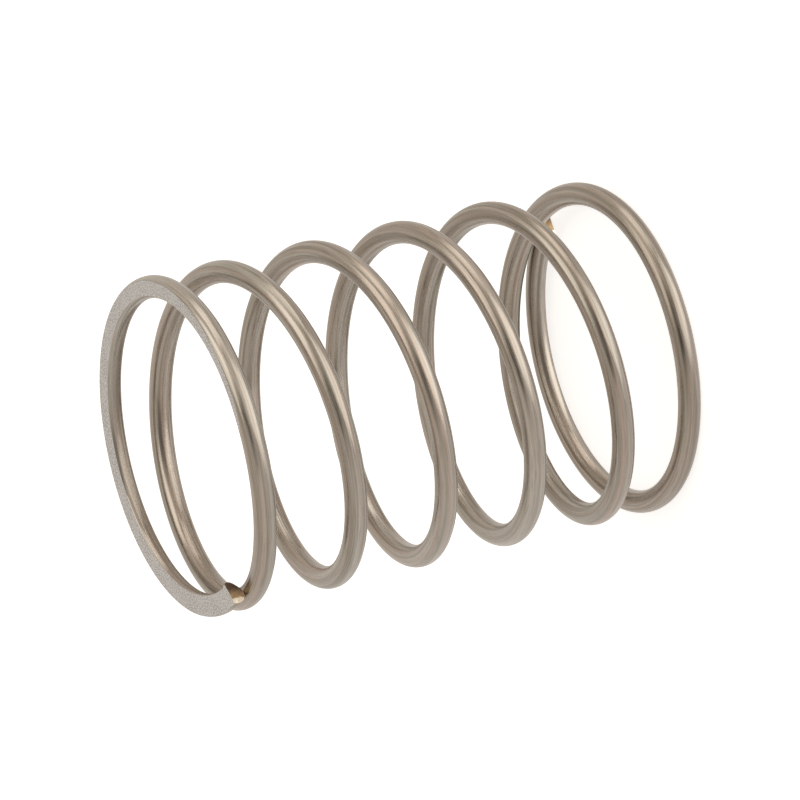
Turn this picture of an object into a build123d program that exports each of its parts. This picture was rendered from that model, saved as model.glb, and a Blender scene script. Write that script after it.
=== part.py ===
"""A small round-wire compression spring with closed and ground ends.

The spring stands on its lower ground end: +Z runs along the coil axis and the origin is
the centre of the lower end face. The wire starts at its lower tip on +X and winds up
right-handed to the upper tip. Each end is closed: a dead turn lies almost flat, its tip
against the next turn, and is ground square to the axis, which leaves a flat seat ring.
All lengths are in millimetres, all stretches of wire in turns.
"""

import math
import os

from build123d import *

# Driving dimensions
wire_diameter = 1.19
outside_diameter = 17.8
free_length = 26.0
total_turns = 6.455
dead_turns = 0.74  # nearly flat part of each closed end
blend_turns = 0.20  # stretch over which the dead end picks up the working pitch
tip_thickness = 0.77  # what grinding leaves of the wire at each tip
closing_gap = 0.05  # air left between each tip and the next turn
blend_points = 4  # spans of the pitch blend's curve

# Sizes that follow from them
wire_radius = wire_diameter / 2
coil_radius = (outside_diameter - wire_diameter) / 2
tip_height = tip_thickness - wire_radius  # wire centre at the tip, above the seat
closed_rise = wire_diameter + closing_gap  # rise of the wire centre over the first turn
working_pitch = (free_length - 2 * (tip_height + closed_rise)) / (total_turns - 2)
open_turns = 1 - dead_turns - blend_turns  # part of the first turn at the working pitch
dead_pitch = (closed_rise - working_pitch * (blend_turns / 2 + open_turns)) / (
    dead_turns + blend_turns / 2
)
working_turns = total_turns - 2 * (dead_turns + blend_turns)


def blend_height(turns):
    """Rise of the wire centre within a blend, where the pitch grows evenly along it."""
    gain = (working_pitch - dead_pitch) / blend_turns
    return dead_pitch * turns + gain * turns**2 / 2


def on_coil(turns, height):
    """Point on the coil's centre line, after so many turns from +X and at that height."""
    angle = 2 * math.pi * turns
    return (coil_radius * math.cos(angle), coil_radius * math.sin(angle), height)


def turned_helix(pitch, turns, start_turns, start_height):
    """Helix of the coil's radius that starts so many turns round, at that height."""
    helix = Helix(pitch, pitch * turns, coil_radius, mode=Mode.PRIVATE)
    return helix.rotate(Axis.Z, 360 * start_turns).translate((0, 0, start_height))


lower_blend_turn = dead_turns
lower_blend_height = tip_height + dead_pitch * dead_turns
working_start_turn = lower_blend_turn + blend_turns
working_start_height = lower_blend_height + blend_height(blend_turns)
working_end_turn = working_start_turn + working_turns
working_end_height = working_start_height + working_pitch * working_turns
upper_dead_turn = working_end_turn + blend_turns
upper_dead_height = working_end_height + blend_height(blend_turns)

# Centre line of the wire, from the lower tip to the upper one
lower_dead = turned_helix(dead_pitch, dead_turns, 0, tip_height)
working = turned_helix(working_pitch, working_turns, working_start_turn, working_start_height)
upper_dead = turned_helix(dead_pitch, dead_turns, upper_dead_turn, upper_dead_height)
steps = [blend_turns * n / blend_points for n in range(1, blend_points)]
lower_points = [
    on_coil(lower_blend_turn + step, lower_blend_height + blend_height(step)) for step in steps
]
upper_points = [
    on_coil(upper_dead_turn - step, upper_dead_height - blend_height(step)) for step in reversed(steps)
]
with BuildLine() as centre_line:
    add(lower_dead)
    Spline(lower_dead @ 1, *lower_points, working @ 0, tangents=[lower_dead % 1, working % 0])
    add(working)
    Spline(working @ 1, *upper_points, upper_dead @ 0, tangents=[working % 1, upper_dead % 0])
    add(upper_dead)

# The coiled wire, cut off square at both tips, then ground flat at both ends
with BuildPart() as coil_spring:
    with BuildSketch(Plane(origin=lower_dead @ 0, z_dir=lower_dead % 0)):
        Circle(wire_radius)
    sweep(path=centre_line.wires()[0], is_frenet=True)
    split(bisect_by=Plane.XY, keep=Keep.TOP)
    split(bisect_by=Plane.XY.offset(free_length), keep=Keep.BOTTOM)

coil_spring.part.label = "coil_spring"
os.makedirs("parts", exist_ok=True)
export_step(coil_spring.part, "parts/coil_spring.step")
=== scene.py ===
"""The looks of a small compression spring: a drawn stainless wire with ground ends.

The wire and its finishes are laid out in millimetres, and the studio round them in metres.
"""

import logging
import math
from dataclasses import dataclass
from enum import Enum

import bmesh
import bpy
from mathutils import Matrix, Vector

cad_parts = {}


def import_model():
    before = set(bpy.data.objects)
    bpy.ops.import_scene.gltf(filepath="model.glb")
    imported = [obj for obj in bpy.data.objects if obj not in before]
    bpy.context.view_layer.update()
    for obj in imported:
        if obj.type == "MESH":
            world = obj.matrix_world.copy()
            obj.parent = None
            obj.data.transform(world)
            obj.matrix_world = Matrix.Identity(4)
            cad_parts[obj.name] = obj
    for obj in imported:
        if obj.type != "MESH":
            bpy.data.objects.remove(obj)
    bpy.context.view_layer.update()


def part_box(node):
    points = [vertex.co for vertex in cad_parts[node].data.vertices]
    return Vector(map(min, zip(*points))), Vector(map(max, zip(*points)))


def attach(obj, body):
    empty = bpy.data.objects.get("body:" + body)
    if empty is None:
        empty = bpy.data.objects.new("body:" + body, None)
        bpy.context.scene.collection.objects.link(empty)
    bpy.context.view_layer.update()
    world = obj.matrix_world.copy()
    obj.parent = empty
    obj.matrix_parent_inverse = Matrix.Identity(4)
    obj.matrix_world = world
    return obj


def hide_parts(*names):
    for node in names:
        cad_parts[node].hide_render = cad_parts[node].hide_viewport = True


log = logging.getLogger("spring")

MM = 0.001  # metres in a millimetre
NODE = "coil_spring"
BODY = "root"
DRAWN = "drawn"  # attribute: where a point lay in the straight wire, in millimetres

Socket = bpy.types.NodeSocket
Colour = tuple[float, float, float]
Scale = tuple[float, float, float]
Span = tuple[float, float]
Feed = Socket | Colour | Vector | float  # an output to link, or a constant
Feeds = dict[str | int, Feed]  # what a node's inputs get, by name, or by place where names repeat

WHITE: Colour = (1.0, 1.0, 1.0)
CREAM: Colour = (1.0, 0.955, 0.89)
IVORY: Colour = (1.0, 0.98, 0.93)
UNIT: Span = (0.0, 1.0)
NOISE_SPAN: Span = (0.3, 0.7)  # values that smooth noise seldom goes past


class Skin(Enum):
    """The three surfaces that the wire shows, by material index."""

    DRAWN_WIRE = 0
    GROUND_FLAT = 1
    CUT_END = 2


class End(Enum):
    """The two ends of the spring, by the way that each faces along the axis."""

    LOWER = -1
    UPPER = 1


@dataclass(frozen=True)
class Grain:
    """A pattern of smooth noise."""

    scale: Scale  # features per millimetre along each axis
    detail: float = 2.0  # how many finer layers are added
    roughness: float = 0.5  # how strong the finer layers are


@dataclass(frozen=True)
class Tint:
    """A colour that a pattern brings out on a surface."""

    colour: Colour
    span: Span  # the pattern's values where the colour starts to show and where it shows most
    share: float = 1.0  # how much of the colour shows there


class NodeSheet:
    """A node tree, with short calls to add and feed its nodes."""

    def __init__(self, owner: bpy.types.Material | bpy.types.World) -> None:
        """Start with an empty tree.

        Args:
            owner: the material or world that the tree belongs to.
        """
        owner.use_nodes = True
        self.tree = owner.node_tree
        self.tree.nodes.clear()

    def feed(self, node: bpy.types.Node, feeds: Feeds) -> None:
        """Link a node's inputs, or set constants on the inputs themselves.

        Args:
            node: the node.
            feeds: what its inputs get.
        """
        for key, value in feeds.items():
            target = node.inputs[key]
            if isinstance(value, Socket):
                self.tree.links.new(value, target)
            elif target.type == "RGBA":
                target.default_value = (*value, 1.0)
            else:
                target.default_value = value

    def add(self, kind: str, feeds: Feeds | None = None, **settings: str | bool) -> bpy.types.Node:
        """Add a node.

        Args:
            kind: the node's type name.
            feeds: what its inputs get.
            **settings: properties of the node and their values.

        Returns:
            The new node.
        """
        node = self.tree.nodes.new(kind)
        for key, value in settings.items():
            setattr(node, key, value)
        self.feed(node, feeds or {})
        return node

    def stretched(self, place: Socket, scale: Scale) -> Socket:
        """Scale coordinates.

        Args:
            place: the coordinates.
            scale: factor along each axis.

        Returns:
            The scaled coordinates.
        """
        return self.add("ShaderNodeMapping", {"Vector": place, "Scale": scale}).outputs["Vector"]

    def noise(self, place: Socket, grain: Grain) -> Socket:
        """Smooth noise.

        Args:
            place: coordinates to read, in millimetres.
            grain: the pattern.

        Returns:
            The noise's value, from 0 to 1.
        """
        feeds = {
            "Vector": self.stretched(place, grain.scale),
            "Scale": 1.0,
            "Detail": grain.detail,
            "Roughness": grain.roughness,
        }
        return self.add("ShaderNodeTexNoise", feeds).outputs["Fac"]

    def spread(self, value: Socket, span: Span, onto: Span = UNIT) -> Socket:
        """Map one span of values onto another, held at its ends.

        Args:
            value: the value to map.
            span: values that map to the two ends of the other span.
            onto: the other span.

        Returns:
            The mapped value.
        """
        feeds = {
            "Value": value,
            "From Min": span[0],
            "From Max": span[1],
            "To Min": onto[0],
            "To Max": onto[1],
        }
        return self.add("ShaderNodeMapRange", feeds, clamp=True).outputs["Result"]

    def computed(self, operation: str, *values: Feed) -> Socket:
        """Compute with numbers.

        Args:
            operation: what is done with them, by the Math node's name for it.
            *values: the numbers, in the node's order.

        Returns:
            The result.
        """
        node = self.add("ShaderNodeMath", dict(enumerate(values)), operation=operation)
        return node.outputs["Value"]

    def mixed(self, share: Socket, first: Feed, second: Feed) -> Socket:
        """Mix two colours.

        Args:
            share: how much of the second shows.
            first: a colour, or a socket that gives one.
            second: a colour, or a socket that gives one.

        Returns:
            The mixed colour.
        """
        node = self.add("ShaderNodeMix", {"Factor": share}, data_type="RGBA")
        places = [place for place, socket in enumerate(node.inputs) if socket.type == "RGBA"]
        self.feed(node, dict(zip(places, (first, second))))
        return next(socket for socket in node.outputs if socket.type == "RGBA")

    def tinted(self, colour: Feed, pattern: Socket, tint: Tint) -> Socket:
        """Lay a tint over a colour.

        Args:
            colour: the colour, or a socket that gives one.
            pattern: the pattern that brings the tint out.
            tint: the tint.

        Returns:
            The tinted colour.
        """
        return self.mixed(self.spread(pattern, tint.span, (0.0, tint.share)), colour, tint.colour)


class MaterialSheet(NodeSheet):
    """A material's node tree, with its one shader in place."""

    def __init__(self, name: str) -> None:
        """Start a plain material.

        Args:
            name: the material's name.
        """
        self.material = bpy.data.materials.new(name)
        super().__init__(self.material)
        self.shader = self.add("ShaderNodeBsdfPrincipled")
        self.add("ShaderNodeOutputMaterial", {"Surface": self.shader.outputs["BSDF"]})

    def place_in_wire(self) -> Socket:
        """Where each point lay in the straight wire: across, over and along it, in millimetres."""
        return self.add("ShaderNodeAttribute", attribute_name=DRAWN).outputs["Vector"]

    def place_in_frame(self) -> Socket:
        """Where each point lies in the frame, in millimetres."""
        place = self.add("ShaderNodeTexCoord").outputs["Object"]
        return self.stretched(place, (1 / MM, 1 / MM, 1 / MM))

    def metal(self, colour: Socket, roughness: Feed) -> None:
        """Make the surface bare metal.

        Args:
            colour: its colour.
            roughness: its roughness, a number where it is the same all over.
        """
        self.feed(self.shader, {"Base Color": colour, "Roughness": roughness, "Metallic": 1.0})

    def bump(self, height: Socket, strength: float, depth: float) -> None:
        """Roughen the shader's normal.

        Args:
            height: the height pattern, from 0 to 1.
            strength: how much of the effect shows.
            depth: how deep the pattern goes, in millimetres.
        """
        feeds = {"Height": height, "Strength": strength, "Distance": depth * MM}
        node = self.add("ShaderNodeBump", feeds)
        self.feed(self.shader, {"Normal": node.outputs["Normal"]})


@dataclass(frozen=True)
class DrawnWireFinish:
    """Satin stainless wire, with the fine lines that the drawing die leaves along it."""

    colour: Colour = (0.31, 0.272, 0.23)
    light: Tint = Tint((0.54, 0.51, 0.462), (0.36, 0.64))
    pink: Tint = Tint((0.52, 0.42, 0.358), (0.48, 0.64), 0.65)
    olive: Tint = Tint((0.35, 0.34, 0.275), (0.42, 0.30), 0.45)
    scratch: Tint = Tint((0.24, 0.205, 0.165), (0.48, 0.28), 0.45)
    die_lines: Grain = Grain((4.4, 4.4, 0.05), 3.0, 0.65)
    streaks: Grain = Grain((6.6, 6.6, 0.05))
    hairs: Grain = Grain((13.2, 13.2, 0.7))
    roughness: Span = (0.21, 0.35)
    line_strength: float = 0.35
    line_depth: float = 0.02  # millimetres

    def material(self) -> bpy.types.Material:
        """Make the material.

        Returns:
            The finished material.
        """
        sheet = MaterialSheet("drawn_stainless_wire")
        place = sheet.place_in_wire()
        lines = sheet.noise(place, self.die_lines)
        hairs = sheet.noise(place, self.hairs)
        streaks = sheet.noise(place, self.streaks)
        colour = sheet.tinted(self.colour, lines, self.light)
        colour = sheet.tinted(colour, streaks, self.pink)
        colour = sheet.tinted(colour, streaks, self.olive)
        colour = sheet.tinted(colour, hairs, self.scratch)
        sheet.metal(colour, sheet.spread(hairs, NOISE_SPAN, self.roughness))
        sheet.bump(lines, self.line_strength, self.line_depth)
        return sheet.material


@dataclass(frozen=True)
class GroundFinish:
    """The matt, sparkling flat that the grinding wheel leaves on each end."""

    colour: Colour = (0.40, 0.39, 0.38)
    sparkle: Tint = Tint((0.80, 0.80, 0.80), (0.38, 0.62))
    bright_patch: Tint = Tint((0.80, 0.80, 0.80), (0.4, 0.7), 0.3)
    grit: Grain = Grain((11.0, 11.0, 11.0), 2.0, 0.6)
    patches: Grain = Grain((0.9, 0.9, 0.9))
    roughness: float = 0.55
    grit_strength: float = 0.5
    grit_depth: float = 0.02  # millimetres

    def material(self) -> bpy.types.Material:
        """Make the material.

        Returns:
            The finished material.
        """
        sheet = MaterialSheet("ground_end_face")
        place = sheet.place_in_frame()
        grit = sheet.noise(place, self.grit)
        colour = sheet.tinted(self.colour, grit, self.sparkle)
        colour = sheet.tinted(colour, sheet.noise(place, self.patches), self.bright_patch)
        sheet.metal(colour, self.roughness)
        sheet.bump(grit, self.grit_strength, self.grit_depth)
        return sheet.material


@dataclass(frozen=True)
class CutEndFinish:
    """The cropped tip of the wire: a bright shear band, burnished and also painted as a highlight,
    and a brown tear face whose darkest side, away from the band, is painted shade.

    The band lies on the outer side at the upper tip and on the inner side at the lower one.
    """

    # brown of the tear face, made darker still as painted shade
    torn_face_and_shade: Colour = (0.105, 0.07, 0.048)
    golden: Tint = Tint((0.38, 0.27, 0.155), (-0.05, 0.32))
    # the burnished shear band, made brighter still as a painted highlight
    sheared_band_and_highlight: Tint = Tint((0.98, 0.91, 0.77), (0.44, 0.54))
    tear: Grain = Grain((6.0, 6.0, 6.0), 3.0, 0.6)
    raggedness: float = 0.4  # how far the tear moves the band's edge, in millimetres
    lower_stretch: Span = (5.0, 10.0)  # millimetres of wire past which a cut is the upper tip's
    roughness: float = 0.38
    tear_strength: float = 0.6
    tear_depth: float = 0.04  # millimetres

    def material(self) -> bpy.types.Material:
        """Make the material.

        Returns:
            The finished material.
        """
        sheet = MaterialSheet("cropped_wire_tip")
        place = sheet.place_in_wire()
        tear = sheet.noise(place, self.tear)
        parts = sheet.add("ShaderNodeSeparateXYZ", {"Vector": place})
        end = sheet.spread(parts.outputs["Z"], self.lower_stretch, (End.LOWER.value, End.UPPER.value))
        towards_band = sheet.computed("MULTIPLY", parts.outputs["X"], end)
        depth = sheet.computed("MULTIPLY_ADD", tear, self.raggedness, towards_band)
        # brown tear face, darkest away from the band, where it is painted shade
        colour = sheet.tinted(self.torn_face_and_shade, depth, self.golden)
        # bright shear band: burnished metal with a painted highlight
        colour = sheet.tinted(colour, depth, self.sheared_band_and_highlight)
        sheet.metal(colour, self.roughness)
        sheet.bump(tear, self.tear_strength, self.tear_depth)
        return sheet.material


@dataclass(frozen=True)
class CoiledWire:
    """The wire of the spring: coiled with closed ends, cropped, and ground square.

    Lengths are in millimetres and stretches of wire in turns, until the mesh is scaled to metres.
    """

    outside_diameter: float
    free_length: float
    wire_diameter: float = 1.19
    total_turns: float = 6.455
    dead_turns: float = 0.74  # nearly flat part of each closed end
    blend_turns: float = 0.20  # stretch over which the dead end picks up the working pitch
    tip_thickness: float = 0.77  # what grinding leaves of the wire at each tip
    closing_gap: float = 0.05  # air left between each tip and the next turn
    section_sides: int = 48
    steps_per_turn: int = 128
    crop_slant: float = 0.36  # how far the cut runs along the wire, per millimetre across it
    crop_reach: float = 0.20  # how far the cut's middle lies past the end of the coiled turns
    burr: float = 0.16  # how far the inner corner of the cut is drawn inward
    burr_share: float = 0.4  # part of the wire's radius that the burr takes up
    grinding_slack: float = 1e-5  # how near the end face a point counts as on it

    @property
    def wire_radius(self) -> float:
        """Radius of the wire's section."""
        return self.wire_diameter / 2

    @property
    def coil_radius(self) -> float:
        """Distance of the wire's centre line from the axis."""
        return (self.outside_diameter - self.wire_diameter) / 2

    @property
    def tip_height(self) -> float:
        """Height of the wire's centre at the lower tip."""
        return self.tip_thickness - self.wire_radius

    @property
    def closed_rise(self) -> float:
        """Rise of the centre line over the first turn, which closes the end."""
        return self.wire_diameter + self.closing_gap

    @property
    def working_pitch(self) -> float:
        """Rise per turn between the closed ends."""
        return (self.free_length - 2 * (self.tip_height + self.closed_rise)) / (self.total_turns - 2)

    @property
    def dead_pitch(self) -> float:
        """Rise per turn of the closed ends."""
        open_turns = 1 - self.dead_turns - self.blend_turns
        rest = self.closed_rise - self.working_pitch * (self.blend_turns / 2 + open_turns)
        return rest / (self.dead_turns + self.blend_turns / 2)

    def rise(self, turn: float) -> float:
        """Height that the centre line has gained after a stretch of wire.

        Args:
            turn: turns from the lower tip.

        Returns:
            The height above the lower tip's centre.
        """
        if turn > self.total_turns / 2:
            whole = self.free_length - 2 * self.tip_height
            return whole - self.rise(self.total_turns - turn)
        blended = min(max(turn - self.dead_turns, 0.0), self.blend_turns)
        beyond = max(turn - self.dead_turns - self.blend_turns, 0.0)
        gain = (self.working_pitch - self.dead_pitch) / self.blend_turns
        return self.dead_pitch * (turn - beyond) + gain * blended**2 / 2 + self.working_pitch * beyond

    def coil(self) -> bmesh.types.BMesh:
        """Spin the wire's round section up the coil, from the lower tip to the upper one.

        Returns:
            The coiled wire, closed at both tips, with the attribute of the straight wire.
        """
        mesh = bmesh.new()
        layer = mesh.verts.layers.float_vector.new(DRAWN)
        upright = Matrix.Rotation(math.radians(90), 4, "X")
        at_tip = Matrix.Translation((self.coil_radius, 0, self.tip_height))
        made = bmesh.ops.create_circle(
            mesh,
            cap_ends=True,
            segments=self.section_sides,
            radius=self.wire_radius,
            matrix=at_tip @ upright,
        )
        steps = round(self.total_turns * self.steps_per_turn)
        bmesh.ops.spin(
            mesh,
            geom=[*made["verts"], *mesh.edges, *mesh.faces],
            cent=(0, 0, 0),
            axis=(0, 0, 1),
            angle=2 * math.pi * self.total_turns,
            steps=steps,
            use_merge=False,
            use_duplicate=False,
        )
        for index, vert in enumerate(mesh.verts):
            ring = index // self.section_sides
            turn = ring * self.total_turns / steps
            across = vert.co.xy.length - self.coil_radius
            over = vert.co.z - self.tip_height
            vert[layer] = (across, over, 2 * math.pi * self.coil_radius * turn)
            vert.co.z += self.rise(turn)
            if ring == 0:
                self.crop(vert, across, End.LOWER)
            elif ring == steps:
                self.crop(vert, across, End.UPPER)
        for face in mesh.faces:
            at_cut = len(face.verts) == self.section_sides
            face.smooth = not at_cut
            face.material_index = (Skin.CUT_END if at_cut else Skin.DRAWN_WIRE).value
        bmesh.ops.recalc_face_normals(mesh, faces=mesh.faces)
        return mesh

    def crop(self, vert: bmesh.types.BMVert, across: float, end: End) -> None:
        """Shift a vertex of a tip, so that the cut slants and has a burr at its inner corner.

        Args:
            vert: the vertex.
            across: its distance outward from the wire's centre line.
            end: the end that the tip is at.
        """
        inner = max(0.0, -across / self.wire_radius - (1 - self.burr_share)) / self.burr_share
        vert.co.xy *= 1 - self.burr * inner**2 / self.coil_radius
        slide = end.value * (self.crop_reach + self.crop_slant * across) / self.coil_radius
        vert.co.rotate(Matrix.Rotation(slide, 3, "Z"))

    def grind(self, mesh: bmesh.types.BMesh, end: End) -> None:
        """Grind one end flat: cut it off square to the axis and close the cut.

        Args:
            mesh: the coiled wire.
            end: the end to grind.
        """
        height = self.free_length if end is End.UPPER else 0.0
        cut = bmesh.ops.bisect_plane(
            mesh,
            geom=[*mesh.verts, *mesh.edges, *mesh.faces],
            dist=self.grinding_slack,
            plane_co=(0, 0, height),
            plane_no=(0, 0, end.value),
            clear_outer=True,
        )
        rim = [item for item in cut["geom_cut"] if isinstance(item, bmesh.types.BMEdge)]
        filled = bmesh.ops.holes_fill(mesh, edges=rim, sides=0)
        for face in filled["faces"]:
            face.smooth = False
            face.material_index = Skin.GROUND_FLAT.value

    def build(self) -> bpy.types.Object:
        """Make the wire's mesh in the frame's metres and dress it.

        Returns:
            The wire's object.
        """
        mesh = self.coil()
        for end in End:
            self.grind(mesh, end)
        bmesh.ops.scale(mesh, vec=(MM, MM, MM), verts=mesh.verts)
        data = bpy.data.meshes.new("coiled_wire")
        mesh.to_mesh(data)
        mesh.free()
        finishes = {
            Skin.DRAWN_WIRE: DrawnWireFinish(),
            Skin.GROUND_FLAT: GroundFinish(),
            Skin.CUT_END: CutEndFinish(),
        }
        for skin in Skin:
            data.materials.append(finishes[skin].material())
        wire = bpy.data.objects.new("coiled_wire", data)
        bpy.context.scene.collection.objects.link(wire)
        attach(wire, BODY)
        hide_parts(NODE)
        return wire


@dataclass(frozen=True)
class Bearing:
    """A direction from the spring."""

    azimuth: float  # degrees round from +X
    elevation: float  # degrees above the floor

    @property
    def vector(self) -> Vector:
        """Unit vector in this direction."""
        turn, lift = math.radians(self.azimuth), math.radians(self.elevation)
        level = math.cos(lift)
        return Vector((level * math.cos(turn), level * math.sin(turn), math.sin(lift)))


@dataclass(frozen=True)
class Softbox:
    """A square lamp that faces the spring."""

    name: str
    bearing: Bearing
    width: float  # degrees that it takes up, seen from the spring
    glow: float  # radiance of its face
    colour: Colour
    roll: float = 0.0  # degrees round its own axis
    distance: float = 0.5  # from the spring

    def build(self, target: Vector) -> bpy.types.Object:
        """Hang the lamp.

        Args:
            target: the point that it faces.

        Returns:
            The lamp's object.
        """
        data = bpy.data.lights.new(self.name, "AREA")
        data.shape = "SQUARE"
        data.size = 2 * self.distance * math.tan(math.radians(self.width / 2))
        data.energy = self.glow * math.pi * data.size**2  # the power that gives a matt face its glow
        data.color = self.colour
        lamp = bpy.data.objects.new(self.name, data)
        direction = self.bearing.vector
        turned = direction.to_track_quat("Z", "Y").to_matrix().to_4x4()
        rolled = Matrix.Rotation(math.radians(self.roll), 4, "Z")
        lamp.matrix_world = Matrix.Translation(target + direction * self.distance) @ turned @ rolled
        bpy.context.scene.collection.objects.link(lamp)
        return lamp


@dataclass(frozen=True)
class Floor:
    """The matt floor under the spring, white to the eye but able to take a shadow."""

    width: float = 2.4
    colour: Colour = (0.80, 0.80, 0.80)
    roughness: float = 0.9
    glow: float = 0.62  # what the camera sees on top of the light that the floor throws back

    def material(self) -> bpy.types.Material:
        """Make the material.

        Returns:
            The finished material.
        """
        sheet = MaterialSheet("pale_floor")
        seen = sheet.add("ShaderNodeLightPath").outputs["Is Camera Ray"]
        look = {
            "Base Color": self.colour,
            "Roughness": self.roughness,
            "Specular IOR Level": 0.0,
            "Emission Color": WHITE,
            "Emission Strength": sheet.spread(seen, UNIT, (0.0, self.glow)),
        }
        sheet.feed(sheet.shader, look)
        return sheet.material

    def build(self) -> bpy.types.Object:
        """Lay the floor.

        Returns:
            The floor's object.
        """
        mesh = bmesh.new()
        bmesh.ops.create_grid(mesh, x_segments=1, y_segments=1, size=self.width / 2)
        data = bpy.data.meshes.new("studio_floor")
        mesh.to_mesh(data)
        mesh.free()
        data.materials.append(self.material())
        plane = bpy.data.objects.new("studio_floor", data)
        plane.visible_shadow = False  # the low lamp shines up through it, as on a light table
        plane.visible_glossy = False
        bpy.context.scene.collection.objects.link(plane)
        return plane


@dataclass(frozen=True)
class Room:
    """The soft light from all round, with white behind the spring."""

    dim: Colour = (0.655, 0.591, 0.511)
    bright: Colour = (0.828, 0.789, 0.757)
    bright_side: Bearing = Bearing(120.0, -48.0)
    dark_side: Bearing = Bearing(-123.0, 38.0)  # where the camera's stand is
    dark_reach: Span = (11.0, 30.0)  # degrees off the dark side, from the darkest to full light
    dark_share: float = 0.22  # light left where it is darkest

    def build(self) -> bpy.types.World:
        """Light the room.

        Returns:
            The world.
        """
        world = bpy.data.worlds.new("soft_studio")
        sheet = NodeSheet(world)
        brightness = sheet.spread(self.facing(sheet, self.bright_side), (-1.0, 1.0))
        near, far = (math.cos(math.radians(angle)) for angle in self.dark_reach)
        darkness = self.facing(sheet, self.dark_side)
        room = {
            "Color": sheet.mixed(brightness, self.dim, self.bright),
            "Strength": sheet.spread(darkness, (far, near), (1.0, self.dark_share)),
        }
        shown = {
            0: sheet.add("ShaderNodeLightPath").outputs["Is Camera Ray"],
            1: sheet.add("ShaderNodeBackground", room).outputs["Background"],
            2: sheet.add("ShaderNodeBackground", {"Color": WHITE}).outputs["Background"],
        }
        mix = sheet.add("ShaderNodeMixShader", shown)
        sheet.add("ShaderNodeOutputWorld", {"Surface": mix.outputs["Shader"]})
        bpy.context.scene.world = world
        return world

    def facing(self, sheet: NodeSheet, side: Bearing) -> Socket:
        """How closely a direction in the room points to one side.

        Args:
            sheet: the world's node tree.
            side: the side.

        Returns:
            The cosine of the angle between them.
        """
        directions = {0: sheet.add("ShaderNodeTexCoord").outputs["Generated"], 1: side.vector}
        node = sheet.add("ShaderNodeVectorMath", directions, operation="DOT_PRODUCT")
        return node.outputs["Value"]


@dataclass(frozen=True)
class View:
    """The camera, aimed at the spring's middle but for a small offset."""

    bearing: Bearing = Bearing(-122.3, 25.34)
    roll: float = -103.0  # degrees
    distance: float = 0.4005  # from the spring
    lens: float = 347.7  # millimetres
    sensor: float = 36.0  # width, in millimetres
    clip: Span = (0.01, 10.0)  # nearest and farthest that it sees
    offset_right: float = -0.0227 * MM  # how far right of the view's middle the spring's lies
    offset_up: float = 0.2144 * MM  # how far above the view's middle it lies

    def build(self, target: Vector) -> bpy.types.Object:
        """Set up the camera.

        Args:
            target: the middle of the spring.

        Returns:
            The camera's object.
        """
        data = bpy.data.cameras.new("view")
        data.lens = self.lens
        data.sensor_width = self.sensor
        data.clip_start, data.clip_end = self.clip
        back = self.bearing.vector
        aside = Vector((0, 0, 1)).cross(back).normalized()
        above = back.cross(aside)
        roll = math.radians(self.roll)
        right = aside * math.cos(roll) + above * math.sin(roll)
        up = above * math.cos(roll) - aside * math.sin(roll)
        place = target + back * self.distance
        place -= right * self.offset_right + up * self.offset_up
        eye = bpy.data.objects.new("view", data)
        turned = Matrix((right, up, back)).transposed().to_4x4()
        eye.matrix_world = Matrix.Translation(place) @ turned
        bpy.context.scene.collection.objects.link(eye)
        bpy.context.scene.camera = eye
        return eye


@dataclass(frozen=True)
class Studio:
    """The camera, the light and the pale floor round the spring."""

    centre: Vector
    view: View = View()
    room: Room = Room()
    lamps: tuple[Softbox, ...] = (
        Softbox("high_box", Bearing(-47.5, 58.0), 42.0, 1.02, CREAM),
        Softbox("side_box", Bearing(-45.5, 0.5), 36.0, 1.05, CREAM),
        Softbox("low_box", Bearing(-106.5, -24.5), 57.0, 1.14, IVORY, -25.0),
    )
    floor: Floor = Floor()

    def build(self) -> None:
        """Set up the whole studio."""
        self.view.build(self.centre)
        self.room.build()
        for lamp in self.lamps:
            lamp.build(self.centre)
        self.floor.build()
        bpy.context.scene.view_settings.view_transform = "Standard"


def main() -> None:
    """Build the spring on its frame and the studio round it."""
    logging.basicConfig(level=logging.INFO, format="%(name)s: %(message)s")
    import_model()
    low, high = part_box(NODE)
    size = (high - low) / MM
    wire = CoiledWire(outside_diameter=size.x, free_length=size.z).build()
    log.info("coiled wire: %d faces", len(wire.data.polygons))
    Studio(centre=Vector((0, 0, (low.z + high.z) / 2))).build()
    log.info("studio: floor, lamps and camera")


if __name__ == "__main__":
    main()
